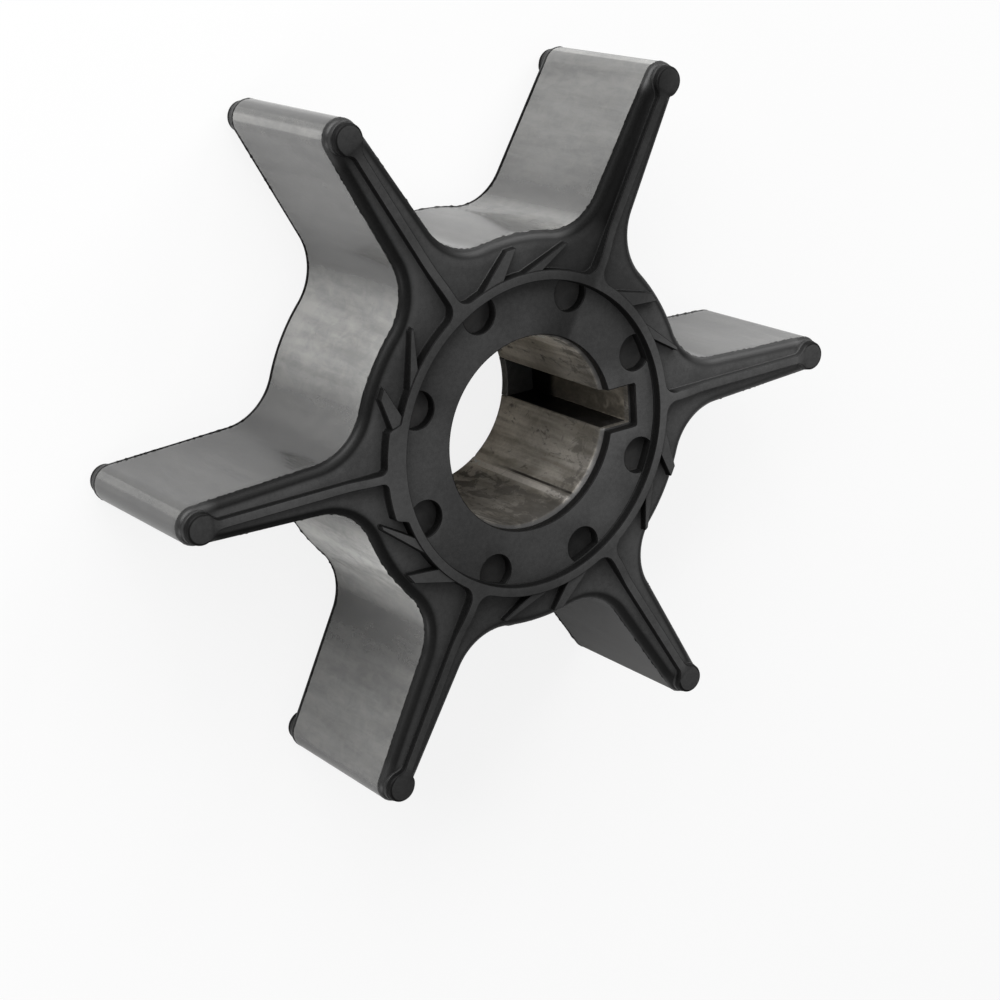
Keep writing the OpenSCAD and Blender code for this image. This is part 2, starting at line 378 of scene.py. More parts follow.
def inner_angles():
    """Angles of the points round the inside of the ring, vane by vane."""
    parts = []
    for k in range(VANES):
        tail = pattern_half(0, k == WIDE_VANE)[CORNER_END:]
        angles = np.arctan2(tail[:, 1], tail[:, 0])
        middle = np.linspace(-angles[0], angles[0], 7)[1:-1]
        around = np.concatenate([-angles[::-1], middle, angles[:-1]])
        parts.append(around + math.radians(VANE_STEP * k))
    return np.concatenate(parts)


def inside_ring(radius, z):
    """Ring of points round the inner wall."""
    angles = inner_angles()
    return np.column_stack([radius * np.cos(angles), radius * np.sin(angles), np.full(len(angles), z)])


print("points round the pattern:", len(pattern_outline(0)))
print("points round its inner wall:", len(inner_angles()))

# %% Close the pattern and make it for both ends
def cover(shell, outer, inside, flip):
    """Faces across the pattern: strips over the ribs, and the ring between outline and inner wall."""
    tail = HALF_COUNT - CORNER_END
    sector = 2 * tail + 6
    for k in range(VANES):
        axis = k * 2 * HALF_COUNT + HALF_COUNT
        plus = [outer[(axis + i) % len(outer)] for i in range(HALF_COUNT + 1)]
        minus = [outer[(axis - i) % len(outer)] for i in range(HALF_COUNT + 1)]
        faces = [(plus[0], plus[1], minus[1])]
        for i in range(1, CORNER_END):
            faces.append((plus[i], plus[i + 1], minus[i + 1], minus[i]))
        wall = [inside[(k * sector + i) % len(inside)] for i in range(sector + 1)]
        faces.append((plus[CORNER_END], *wall[tail:tail + 7][::-1], minus[CORNER_END]))
        for i in range(tail):
            at, after = CORNER_END + i, CORNER_END + i + 1
            faces.append((plus[at], plus[after], wall[tail + 7 + i], wall[tail + 6 + i]))
            faces.append((minus[after], minus[at], wall[tail - i], wall[tail - 1 - i]))
        shell.faces.extend([f[::-1] for f in faces] if flip else faces)


def raised_pattern():
    """The whole raised pattern of one end as a closed shell."""
    shell = Shell()
    outer, walls = [], []
    plain = pattern_outline(0)
    reach = np.hypot(plain[:, 0], plain[:, 1])
    deeper = 1 + 2.2 * smooth_step(25.6, 26.2, reach)
    for drop, inset in EDGE_STEPS:
        outline = pattern_outline(inset)
        outer.append(shell.ring(np.column_stack([outline, pattern_top(outline) - drop * deeper])))
        walls.append(shell.ring(inside_ring(RING_IN + inset, WIDTH - drop)))
    for z, inset in FOOT_STEPS:
        outer.append(shell.ring(at_height(pattern_outline(inset), z)))
    for z, inset in SEAT_STEPS:
        walls.append(shell.ring(inside_ring(RING_IN + inset, z)))
    shell.stack(outer)
    shell.stack(walls)
    cover(shell, outer[0], walls[0], False)
    cover(shell, outer[-1], walls[-1], True)
    return shell


upper_ribs = raised_pattern().make("upper_ribs_and_ring")
lower_ribs = raised_pattern().make("lower_ribs_and_ring", turned_over=True)

# %% [markdown]
# Short slanted ribs
#
# In every gap two short ribs run out from the ring at a slant and get lower on the way. They may
# be gates or stiffeners left by the mould. Each is a little wedge with rounded corners, built the
# same way as the pattern: four corners, an outline set in near the top, and a sloping height.

# %% Outline of a wedge
def polar(radius, degrees):
    """Point at a radius and an angle."""
    return radius * np.array([math.cos(math.radians(degrees)), math.sin(math.radians(degrees))])


def rounded_wedge(corners, radii, inset):
    """Outline of a convex four-sided shape with rounded corners, set in evenly on all sides."""
    count = len(corners)
    normals = []
    for i in range(count):
        way = corners[(i + 1) % count] - corners[i]
        way = way / np.hypot(*way)
        normals.append(np.array([way[1], -way[0]]))
    outline = []
    for i in range(count):
        before, after = normals[i - 1], normals[i]
        reach = radii[i] + 0.001
        split = before @ corners[i] - reach, after @ corners[i] - reach
        centre = np.linalg.solve(np.array([before, after]), np.array(split))
        start = math.atan2(before[1], before[0])
        sweep = (math.atan2(after[1], after[0]) - start) % (2 * math.pi)
        outline.append(arc(centre, max(reach - inset, 0.004), start, start + sweep, 6))
    return np.vstack(outline)

# %% Make the slanted ribs
WEDGE_RADII = (0.1, 0.08, 0.12, 0.1)
WEDGE_ROOT_R = RING_OUT - 0.3
WEDGE_TIP_R = 13.9
WEDGE_TOP = 14.87
WEDGE_FALL = 0.3
WEDGE_ANGLES = (((-16.2, -14.5), (-4.3, 6.0)), ((2.8, 6.6), (11.2, 22.2)))


def slanted_bar(shell, middle, tip_angles, root_angles):
    """One rib from the ring at its root to its tip, wider and higher at the ring."""
    corners = [polar(WEDGE_ROOT_R, middle + root_angles[0]), polar(WEDGE_TIP_R, middle + tip_angles[0]),
               polar(WEDGE_TIP_R, middle + tip_angles[1]), polar(WEDGE_ROOT_R, middle + root_angles[1])]
    root = (corners[0] + corners[3]) / 2
    tip = (corners[1] + corners[2]) / 2
    run = (tip - root) / ((tip - root) @ (tip - root))
    rings = []
    for drop, inset in EDGE_STEPS:
        flat = rounded_wedge(corners, WEDGE_RADII, inset)
        z = WEDGE_TOP - WEDGE_FALL * np.maximum((flat - root) @ run, 0.03) - drop
        rings.append(shell.ring(np.column_stack([flat, z])))
    for z, inset in FOOT_STEPS[1:]:
        flat = rounded_wedge(corners, WEDGE_RADII, inset)
        rings.append(shell.ring(at_height(flat, z)))
    shell.stack(rings)
    shell.faces.append(tuple(rings[0]))
    shell.faces.append(tuple(rings[-1][::-1]))


def slanted_ribs():
    """All twelve ribs of one end."""
    shell = Shell()
    for k in range(VANES):
        for tip_angles, root_angles in WEDGE_ANGLES:
            slanted_bar(shell, 30 + VANE_STEP * k, tip_angles, root_angles)
    return shell


upper_bars = slanted_ribs().make("upper_slanted_ribs")
lower_bars = slanted_ribs().make("lower_slanted_ribs", turned_over=True)

# %% [markdown]
# Lips over the bush
#
# The rubber reaches over each end of the metal bush as a thin sunk lip. It has eight D-shaped
# notches, perhaps where pins of the mould held the bush. A slot in the upper lip carries the keyway
# through, and the lower lip closes it with a small web. The flat part between so many holes is hard
# to cut into strips by hand, so its faces come from a triangulation that respects the outlines,
# while the rims are rings like everything else.

# %% Outlines of the holes in the lip
NOTCHES = 8
NOTCH_AT = 10.4
NOTCH_R = 1.35
SLOT_HALF = 1.63
SLOT_FLOOR = 9.53
SLOT_CORNER_R = 0.2
WEB_ANGLE = 12.5


def notch(angle, inset):
    """D-shaped notch whose flat side lies against the ring."""
    r = NOTCH_R + inset
    mouth = math.acos((NOTCH_AT ** 2 + RING_IN ** 2 - r ** 2) / (2 * NOTCH_AT * RING_IN))
    corner = np.array([RING_IN * math.cos(mouth) - NOTCH_AT, RING_IN * math.sin(mouth)])
    start = math.atan2(corner[1], corner[0])
    bow = arc((NOTCH_AT, 0), r, start, 2 * math.pi - start, 28)
    shut = arc((0, 0), RING_IN, -mouth, mouth, 6)[1:-1]
    return turned(np.vstack([bow, shut]), angle)


def lip_opening(inset):
    """Opening over the bore and the keyway slot, from the slot's upper corner all the way round."""
    r, half_slot, floor = LIP_R + inset, SLOT_HALF + inset, SLOT_FLOOR + inset
    corner_x, corner_y = floor - SLOT_CORNER_R, half_slot - SLOT_CORNER_R
    meet = math.asin(half_slot / r)
    bore = arc((0, 0), r, meet, 2 * math.pi - meet, 120)
    start = (r * math.cos(meet), -half_slot)
    down = line(start, (corner_x, -half_slot), 5)[1:]
    low_corner = arc((corner_x, -corner_y), SLOT_CORNER_R, -math.pi / 2, 0, 4)[1:]
    across_floor = line(low_corner[-1], (floor, corner_y), 5)[1:]
    high_corner = arc((corner_x, corner_y), SLOT_CORNER_R, 0, math.pi / 2, 4)[1:]
    back = line(high_corner[-1], (start[0], half_slot), 5)[1:-1]
    return np.vstack([bore, down, low_corner, across_floor, high_corner, back])


def closed_opening(inset):
    """Opening over the bore with the web that closes the keyway, flush with the bore."""
    angles = np.radians(np.concatenate([np.linspace(-12.4, 12.4, 13), np.linspace(12.7, 347.3, 120)]))
    radius = np.where(angles < math.radians(WEB_ANGLE), BORE_R, LIP_R) + inset
    return np.stack([radius * np.cos(angles), radius * np.sin(angles)], 1)


def lip_edge(inset):
    """Hidden outer edge of the lip, under the ring; it has no rounding."""
    return arc((0, 0), BUSH_R - 0.1, 0, 2 * math.pi, 144)[:-1]


print("thickness of the lip, mm:", round(LIP_TOP - BUSH_TOP, 2))

# %% Fill the flat between the holes
def inside(point, loop):
    """True if the point lies inside the closed loop."""
    x, y = point
    a, b = loop, np.roll(loop, -1, axis=0)
    crosses = (a[:, 1] > y) != (b[:, 1] > y)
    with np.errstate(divide="ignore", invalid="ignore"):
        where = a[:, 0] + (y - a[:, 1]) * (b[:, 0] - a[:, 0]) / (b[:, 1] - a[:, 1])
    return bool(np.count_nonzero(crosses & (x < where)) % 2)


def fill(loops):
    """Triangles between the first loop and the holes in it, as numbers into the joined loops."""
    points = np.vstack(loops)
    edges, first = [], 0
    for loop in loops:
        count = len(loop)
        edges += [(first + i, first + (i + 1) % count) for i in range(count)]
        first += count
    made = delaunay_2d_cdt([Vector(p) for p in points], edges, [], 0, 1e-7)
    origin = [ids[0] if ids else None for ids in made[3]]
    faces = []
    for face in made[2]:
        middle = np.mean([made[0][i] for i in face], axis=0)
        if inside(middle, loops[0]) and not any(inside(middle, hole) for hole in loops[1:]):
            faces.append(tuple(origin[i] for i in face))
    return faces

# %% Make both lips
LIP_STEPS = ((0, 0.09), (0.012, 0.045), (0.04, 0.012), (0.09, 0), (0.67, 0), (0.72, 0.015),
             (LIP_TOP - BUSH_TOP, 0.06))
TOP_INSET, LOW_INSET = LIP_STEPS[0][1], LIP_STEPS[-1][1]


def hub_lip(opening):
    """Lip of one end with its notches and its opening, as a closed shell."""
    shell = Shell()
    shapes = [lip_edge, opening]
    for k in range(NOTCHES):
        angle = 2 * math.pi * (k + 0.5) / NOTCHES
        shapes.append(lambda inset, angle=angle: notch(angle, inset))
    tops, lows = [], []
    for shape in shapes:
        rings = [shell.ring(at_height(shape(inset), LIP_TOP - drop)) for drop, inset in LIP_STEPS]
        shell.stack(rings, glossy=shape is closed_opening)
        tops.append(rings[0])
        lows.append(rings[-1])
    for chosen, inset in ((tops, TOP_INSET), (lows, LOW_INSET)):
        numbers = [i for ring_points in chosen for i in ring_points]
        flat = fill([shape(inset) for shape in shapes])
        shell.faces += [tuple(numbers[i] for i in face) for face in flat]
    return shell


upper_lip = hub_lip(lip_opening).make("upper_hub_lip")
lower_lip = hub_lip(closed_opening).make("lower_hub_lip", turned_over=True)

# %% [markdown]
# Metal bush
#
# The bush looks like a rolled and ground sleeve with a keyway along its whole length. A lathe shape
# with a cut would do, but the keyway edges would stay razor sharp. Its bore is one outline that
# holds the keyway and a fine seam groove, stacked over the length, with a small chamfer at the
# upper end. At the lower end a thin collar of metal lines the rubber lip, except at the web that
# closes the keyway.

# %% Outlines of the bore
KEY_HALF = 1.5
KEY_FLOOR = 9.4
KEY_CORNER_R = 0.12
KEY_EDGE = 0.07
SEAM_AT = math.radians(-56)
SEAM_DEPTH, SEAM_HALF = 0.07, 0.09


def bore_outline(radius):
    """Bore, seam groove and keyway as one outline with small rounded edges."""
    meet = math.asin(KEY_HALF / radius)
    around = arc((0, 0), radius, meet + 0.012, 2 * math.pi - meet - 0.012, 240)
    angles = np.arctan2(around[:, 1], around[:, 0])
    gap = np.abs((angles - SEAM_AT + math.pi) % (2 * math.pi) - math.pi) * radius
    around = around * (1 + SEAM_DEPTH / radius * np.exp(-(gap / SEAM_HALF) ** 2))[:, None]
    mouth_x = radius * math.cos(meet) + KEY_EDGE
    corner_x, corner_y = KEY_FLOOR - KEY_CORNER_R, KEY_HALF - KEY_CORNER_R
    down = line((mouth_x, -KEY_HALF), (corner_x, -KEY_HALF), 6)
    low_corner = arc((corner_x, -corner_y), KEY_CORNER_R, -math.pi / 2, 0, 3)[1:]
    floor = line(low_corner[-1], (KEY_FLOOR, corner_y), 6)[1:]
    high_corner = arc((corner_x, corner_y), KEY_CORNER_R, 0, math.pi / 2, 3)[1:]
    back = line(high_corner[-1], (mouth_x, KEY_HALF), 6)[1:]
    return np.vstack([around, down, low_corner, floor, high_corner, back])


def collar_outline(grow):
    """The bore's points below the keyway: round, and set back behind the web at the keyway."""
    points = bore_outline(BORE_R + grow)
    reach = np.hypot(points[:, 0], points[:, 1])
    away = np.abs(np.degrees(np.arctan2(points[:, 1], points[:, 0]))) > WEB_ANGLE
    radius = np.where(away, np.minimum(reach, LIP_R - 0.04), LIP_R - 0.02)
    return points * (radius / reach)[:, None]


print("points round the bore and keyway:", len(bore_outline(BORE_R)))

# %% Make the bush
COLLAR_LOW = 0.72


def metal_bush():
    """The bush as one closed shell: up the bore, over the end, down outside and under the collar."""
    shell = Shell()
    low, high = WIDTH - BUSH_TOP, BUSH_TOP
    collar = [(COLLAR_LOW, 0.08), (0.74, 0.03), (0.8, 0.0), (low - 0.04, 0.0)]
    levels = [(low - 0.03, 0.0)] + [(z, 0.0) for z in np.linspace(low + 0.1, high - 0.5, 9)]
    levels += [(high - 0.3, 0.02), (high - 0.27, 0.04), (high - 0.06, 0.25), (high, 0.36)]
    bore = [shell.ring(at_height(collar_outline(grow), z)) for z, grow in collar]
    bore += [shell.ring(at_height(bore_outline(BORE_R + grow), z)) for z, grow in levels]
    face = bore_outline(BORE_R + 0.4)
    way = face / np.hypot(face[:, 0], face[:, 1])[:, None]
    outside, behind_lip = (BUSH_R - 0.02) * way, (LIP_R - 0.01) * way
    rest = [(outside, high), (outside, low), (behind_lip, low - 0.01), (behind_lip, COLLAR_LOW)]
    shell.stack(bore + [shell.ring(at_height(outline, z)) for outline, z in rest] + [bore[0]])
    return shell


bush = metal_bush().make("keyed_metal_bush")

# %% [markdown]
# Shader maths
#
# A finish is easier to read as an expression than as a list of links. The small class below wraps
# one output socket. Plain operators add Math nodes for numbers, Vector Math nodes for vectors and
# Mix nodes for colours. Any other node comes from the one method that sets its settings first.

# %% A socket that can be used in arithmetic
class Wire:
    """One output socket of a material's node tree."""

    def __init__(self, tree, socket=None):
        self.tree = tree
        self.socket = socket

    def node(self, kind, settings=None, inputs=None, output=0):
        """Adds a node, sets its settings and then its inputs, and returns one of its outputs."""
        made = self.tree.nodes.new(kind)
        for name, value in (settings or {}).items():
            if name == "stops":
                self.set_stops(made.color_ramp, value)
            else:
                setattr(made, name, value)
        for name, value in (inputs or {}).items():
            self.plug(made.inputs[name], value)
        return Wire(self.tree, made.outputs[output])

    def plug(self, socket, value):
        """Links a wire to an input, or writes a plain value into it."""
        if isinstance(value, Wire):
            self.tree.links.new(value.socket, socket)
        else:
            socket.default_value = value

    def set_stops(self, ramp, stops):
        """Gives a colour ramp its stops, each a place and a colour."""
        while len(ramp.elements) < len(stops):
            ramp.elements.new(1)
        for element, (place, colour) in zip(ramp.elements, stops):
            element.position = place
            element.color = (*colour, 1)

    def maths(self, operation, first, second):
        """One node for a sum, a product and so on, of the sort that its values need."""
        sorts = {w.socket.type for w in (first, second) if isinstance(w, Wire)}
        if "RGBA" in sorts:
            return self.node("ShaderNodeMix", {"data_type": "RGBA", "blend_type": operation},
                             {0: 1.0, 6: self.as_colour(first), 7: self.as_colour(second)}, 2)
        if "VECTOR" in sorts:
            return self.node("ShaderNodeVectorMath", {"operation": operation},
                             {0: self.as_vector(first), 1: self.as_vector(second)})
        return self.node("ShaderNodeMath", {"operation": operation}, {0: first, 1: second})

    def as_vector(self, value):
        """A plain number as a vector of three equal parts; anything else stays as it is."""
        return (value, value, value) if isinstance(value, (int, float)) else value

    def as_colour(self, value):
        """A plain number as a grey; anything else stays as it is."""
        return (value, value, value, 1) if isinstance(value, (int, float)) else value

    def __add__(self, other):
        return self.maths("ADD", self, other)

    def __radd__(self, other):
        return self.maths("ADD", other, self)

    def __sub__(self, other):
        return self.maths("SUBTRACT", self, other)

    def __rsub__(self, other):
        return self.maths("SUBTRACT", other, self)

    def __mul__(self, other):
        return self.maths("MULTIPLY", self, other)

    def __rmul__(self, other):
        return self.maths("MULTIPLY", other, self)

    def __truediv__(self, other):
        return self.maths("DIVIDE", self, other)

    def __rtruediv__(self, other):
        return self.maths("DIVIDE", other, self)

    def __pow__(self, other):
        return self.maths("POWER", self, other)

    def __rpow__(self, other):
        return self.maths("POWER", other, self)

    def rise(self, low, high):
        """0 where the value is below low, 1 where it is above high, and soft between them."""
        return self.node("ShaderNodeMapRange", {"interpolation_type": "SMOOTHSTEP"},
                         {"Value": self, "From Min": low, "From Max": high})

    def absolute(self):
        """The value without its sign."""
        return self.node("ShaderNodeMath", {"operation": "ABSOLUTE"}, {0: self})

    def near(self, middle, full, gone):
        """1 where the value is within full of the middle, and 0 where it is further off than gone."""
        return 1 - (self - middle).absolute().rise(full, gone)

    def between(self, first, second):
        """Mixes two colours by this value."""
        return self.node("ShaderNodeMix", {"data_type": "RGBA"}, {0: self, 6: first, 7: second}, 2)

# %% [markdown]
# Tools for the finishes
#
# Every finish below needs the same few things: a place in millimetres, the distance from the shaft
# and the angle round it, soft noise, and a shader with fine bumps. Each piece sits at the origin,
# so its own coordinates are also those of the whole part, and a pattern runs on from piece to piece.

# %% Materials and places
def new_material(name):
    """An empty material, and a wire to build it with."""
    material = bpy.data.materials.new(name)
    material.use_nodes = True
    tree = material.node_tree
    tree.nodes.clear()
    return material, Wire(tree)


def finish_surface(wire, shader):
    """Joins a shader to the material's output."""
    output = wire.tree.nodes.new("ShaderNodeOutputMaterial")
    wire.plug(output.inputs["Surface"], shader)


def bumpy_shader(wire, height, strength, depth, inputs):
    """The main shader with bumps of the given depth in metres, joined to the output."""
    bumps = wire.node("ShaderNodeBump", None, {"Strength": strength, "Distance": depth, "Height": height})
    finish_surface(wire, wire.node("ShaderNodeBsdfPrincipled", None, {**inputs, "Normal": bumps}))


def place_in_mm(wire):
    """Where a point of the surface is, in millimetres."""
    return wire.node("ShaderNodeTexCoord", output="Object") * 1000.0


def facing(wire, axis):
    """1 where the surface faces along an axis, either way, and 0 where it lies along it."""
    normal = wire.node("ShaderNodeNewGeometry", output="Normal")
    return wire.node("ShaderNodeSeparateXYZ", None, {"Vector": normal}, axis).absolute()


def round_the_axis(wire, spot):
    """Distance from the shaft axis, angle round it in degrees, and height."""
    x, y, z = (wire.node("ShaderNodeSeparateXYZ", None, {"Vector": spot}, axis) for axis in "XYZ")
    angle = wire.node("ShaderNodeMath", {"operation": "ARCTAN2"}, {0: y, 1: x})
    return (x * x + y * y) ** 0.5, angle * math.degrees(1), z

# %% Noise and greys
def grey(level, warm=0.0):
    """A colour near grey, written in linear light."""
    return (level * (1 + warm), level, level * (1 - warm), 1)


def cloud(wire, where, scale, detail=4.0, rough=0.55, stretch=(1, 1, 1), warp=0.0):
    """Noise from 0 to 1 over the surface; stretch below 1 draws it out along that axis."""
    x, y, z = stretch
    place = where * wire.node("ShaderNodeCombineXYZ", None, {"X": x, "Y": y, "Z": z})
    return wire.node("ShaderNodeTexNoise", None, {"Vector": place, "Scale": scale, "Detail": detail,
                                                  "Roughness": rough, "Distortion": warp})


def vane_by_vane(wire, turn, most, levels):
    """A factor that changes round the wheel, given as (degrees, factor) pairs up to the most."""
    stops = [(angle / 360 + 0.5, (factor / most,) * 3) for angle, factor in levels]
    return wire.node("ShaderNodeValToRGB", {"stops": stops}, {"Fac": turn / 360.0 + 0.5}) * most


print("a grey of 0.05 in linear light:", grey(0.05))

# %% [markdown]
# End faces and edges of the rubber
#
# Moulded rubber is nearly black, but not evenly so. The end faces are a satin grey with fine pits,
# and the rounded edges round them are given a far darker grey, which is partly painted shade, with a
# sheen on the tips and along some of the vanes. Two materials could meet there, but the real change
# is soft, so one finish tells the flats from the edges by the way that the surface faces. A thin coat
# gives the satin. The grey of the flats changes from vane to vane, partly as painted shade. Angles
# are degrees round the shaft from the keyway: on the vane at 60 one side is painted nearly black as
# shade, and on the vane at 0 the rounded edges are painted paler, as painted light over their shade.

# %% Finish of the end faces and edges
# Grey of the flats vane by vane, partly painted shade; the dip from 61.5 to 68 is painted shade.
FLAT_BLOOM_AND_SHADE = ((-180, 1.3), (-150, 1.0), (-120, 0.7), (-60, 1.3), (0, 1.8), (30, 1.3), (45, 1.0),
              (59, 0.9), (61.5, 0.35), (68, 0.35), (90, 1.1), (120, 1.0), (150, 0.9), (180, 1.3))
EDGE_POLISH = ((-180, 0.1), (-150, 0.1), (-125, 0.4), (0, 0.6), (50, 0.6), (57, 0.3), (61, 0.0),
               (70, 0.0), (77, 1.0), (104, 1.0), (114, 0.4), (122, 0.2), (130, 0.1), (160, 0.1),
               (170, 0.35), (180, 0.1))


def end_rubber():
    """Satin grey flats and far darker rounded edges, with painted shade and light, and a changing sheen.
    """
    material, wire = new_material("moulded_rubber")
    spot = place_in_mm(wire)
    reach, turn, z = round_the_axis(wire, spot)
    flat = facing(wire, "Z").rise(0.93, 0.998)
    # Painted shade: one side of the vane at 60 is darkened in colour, and its coat is lowered.
    painted_dark_side = turn.near(65.5, 3.7, 5.0) * reach.rise(14.5, 16.5) * (1 - reach.rise(25.4, 26.4))
    key_vane = turn.near(0.0, 7.0, 11.0) * reach.rise(12.6, 13.4) * (1 - reach.rise(26.0, 26.8))
    # Noise: broad patches, a mottle of a few tenths of a millimetre and fine grit.
    broad = cloud(wire, spot, 0.16, 2.0)
    mottle = cloud(wire, spot, 2.6, 4.0, 0.6)
    grit = cloud(wire, spot, 9.0, 3.0, 0.7)
    patches = (0.5 * broad + 0.25 * mottle + 0.25 * grit).rise(0.34, 0.66)
    # Colour of the flats and of the edges. The far darker edges and the change of the
    # flats from vane to vane are partly painted shade.
    bloom_and_painted_light = vane_by_vane(wire, turn, 2.0, FLAT_BLOOM_AND_SHADE) * (1 - 0.35 * reach.rise(25.4, 26.0))
    flat_colour = patches.between(grey(0.024), grey(0.04)) * bloom_and_painted_light * (1 - 0.7 * painted_dark_side)
    edge_colour = grit.rise(0.4, 0.75).between(grey(0.002), grey(0.006))
    # Painted light: the edges of the vane at 0 get a paler grey, which hides their shade.
    edge_colour = (key_vane * 0.45).between(edge_colour, grey(0.03))
    # Sheen: the crown is the rounded edge of the body, above its moulding line.
    tips = reach.rise(25.2, 26.4)
    crown = 1 - (z - MIDDLE).absolute().rise(6.6, 6.75)
    polish = tips + (1 - tips) * vane_by_vane(wire, turn, 1.0, EDGE_POLISH)
    edge_sheen = 0.12 + 0.75 * crown * polish + 0.3 * key_vane
    sheen = (flat * (0.55 + 0.4 * patches) + (1 - flat) * edge_sheen) * (1 - 0.7 * painted_dark_side)
    bumpy_shader(wire, 0.6 * grit + 0.3 * mottle, 0.5, 0.00005, {
        "Base Color": flat.between(edge_colour, flat_colour), "Roughness": 0.5 + 0.14 * grit,
        "IOR": 1.15, "Coat Weight": sheen, "Coat Roughness": 0.42, "Coat IOR": 1.45})
    return material


end_finish = end_rubber()
print("nodes in the end finish:", len(end_finish.node_tree.nodes))

# %% [markdown]
# Smooth sides of the rubber
#
# The sides slid along polished steel, so they are smoother than the end faces, and a grey bloom has
# settled on them. Their tone also holds painted reflection and shade: light on the hub between the
# vanes, dark in the hollow roots and even along the vanes. A ramp over the distance from the shaft
# gives that, and noise bends the ramp, so that no band has a hard edge; its streaks are partly
# painted reflection. A second ramp, round the shaft, paints some gaps and vanes lighter or darker
# than others. The tips carry a narrow painted highlight, except on the two vanes round -100 degrees,
# which get painted shade there, and the very ends of all tips get painted shade.

# %% Finish of the sides
TONES_FROM, TONES_OVER = 13.0, 15.0
# Painted reflection and shade: grey tones over the distance from the shaft.
SIDE_PAINTED_TONES = ((0.02, 0.07), (0.07, 0.147), (0.095, 0.147), (0.146, 0.105), (0.207, 0.036),
              (0.272, 0.031), (0.384, 0.045), (0.58, 0.062), (0.925, 0.064))
# Painted light and shade: how much of the tone each gap and vane shows.
SIDE_PAINTED_LIGHT = ((-180, 0.58), (-165, 1.2), (-152, 3.2), (-142, 3.3), (-132, 1.6), (-120, 1.1),
              (-66, 0.36), (-30, 0.8), (5, 1.15), (40, 1.3), (68, 1.4), (80, 0.55), (102, 0.46),
              (124, 1.15), (150, 1.2), (164, 0.34), (180, 0.52))


def side_rubber():
    """Smooth sides with a grey bloom and painted reflection and shade, changing with distance and angle.
    """
    material, wire = new_material("smooth_rubber_sides")
    spot = place_in_mm(wire)
    reach, turn = round_the_axis(wire, spot)[:2]
    # Noise: broad waves, streaks along the shaft, a mottle and a few pale specks.
    broad = cloud(wire, spot, 0.16, 2.0, 0.5, (1, 1, 0.5))
    streak = cloud(wire, spot, 0.8, 4.0, 0.6, (1, 1, 0.15), 0.3)
    mottle = cloud(wire, spot, 1.1, 5.0, 0.65, (1, 1, 0.7), 0.6)
    speck = cloud(wire, spot, 5.0, 2.0, 0.6)
    # Tone by the distance from the shaft, and the share of it that each gap and vane shows; both
    # are painted reflection and shade.
    place = (reach + 0.9 * (broad - 0.5) + 0.5 * (streak - 0.5) - TONES_FROM) / TONES_OVER
    stops = [(at, (level, level, level * 0.98)) for at, level in SIDE_PAINTED_TONES]
    painted_radial_light = wire.node("ShaderNodeValToRGB", {"stops": stops}, {"Fac": place})
    # Painted highlight in a narrow line on the tips, and painted shade on the lower tips and at all tip
    # ends.
    lower_tips = turn.near(-100.0, 40.0, 60.0)
    painted_tip_highlight = reach.near(27.95, 0.12, 0.26) * (1 - lower_tips)
    painted_tip_shade = 0.45 * reach.rise(28.29, 28.33) + 0.4 * lower_tips * reach.rise(27.4, 27.9)
    share = vane_by_vane(wire, turn, 3.4, SIDE_PAINTED_LIGHT) * (1 + 1.3 * painted_tip_highlight) * (1 - painted_tip_shade)
    # Streaks in the bloom, partly painted reflection, and a slight change of tint.
    bloom_and_painted_light = 0.68 + 0.74 * ((0.35 * broad + 0.4 * streak + 0.25 * mottle).rise(0.34, 0.66))
    bloom_and_painted_light_grey = wire.node("ShaderNodeCombineColor", None, {"Red": bloom_and_painted_light, "Green": bloom_and_painted_light, "Blue": bloom_and_painted_light})
    tint = mottle.between((0.98, 1.0, 1.02, 1), (1.03, 1.0, 0.95, 1))
    tone_with_painted_light = painted_radial_light * share * tint * bloom_and_painted_light_grey
    dulled = turn.near(-64.0, 7.0, 14.0)
    bumpy_shader(wire, 0.9 * broad + 0.2 * streak + 0.06 * speck, 0.6, 0.00015, {
        "Base Color": speck.rise(0.70, 0.76).between(tone_with_painted_light, grey(0.05)),
        "Roughness": 0.09 + 0.10 * streak + 0.08 * mottle + 0.5 * dulled, "IOR": 2.0})
    return material


side_finish = side_rubber()
print("nodes in the side finish:", len(side_finish.node_tree.nodes))
